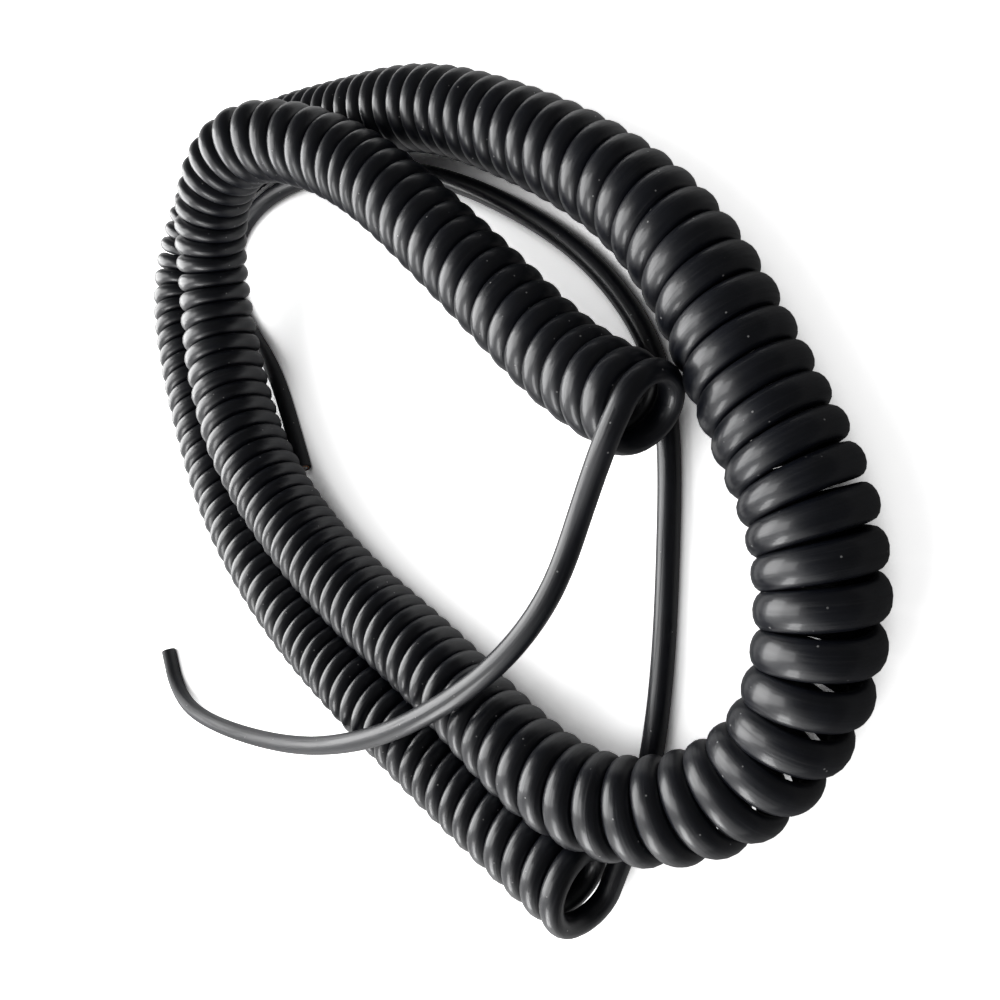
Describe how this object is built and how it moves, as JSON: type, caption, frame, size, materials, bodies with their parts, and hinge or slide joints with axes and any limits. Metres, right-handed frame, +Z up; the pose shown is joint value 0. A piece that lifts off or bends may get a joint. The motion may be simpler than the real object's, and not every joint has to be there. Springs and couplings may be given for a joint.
{
  "type": "instrument cable",
  "caption": "Curly instrument cable lying in one crossed loop, with a smooth lead and a clean cut at each end.",
  "frame": {"origin": "centre of the base of the whole cable's box, on the table that it lies on", "axes": "+Z up from the table; +Y along the loop's length, from the side where both leads leave the curly stretch towards lead A's cut end; +X across the loop"},
  "size_m": [0.2551, 0.3139, 0.0503],
  "materials": {
    "jacket": "gloss",
    "shield": "bare copper strands",
    "conductive_layer": "matte",
    "insulation": "satin",
    "conductor": "bare copper strands"
  },
  "bodies": {
    "root": {"coil": "jacket", "lead_a_jacket": "jacket", "lead_a_shield": "shield", "lead_a_conductive_layer": "conductive_layer", "lead_a_insulation": "insulation", "lead_a_conductor": "conductor", "lead_b_jacket": "jacket", "lead_b_shield": "shield", "lead_b_conductive_layer": "conductive_layer", "lead_b_insulation": "insulation", "lead_b_conductor": "conductor"}
  },
  "joints": []
}
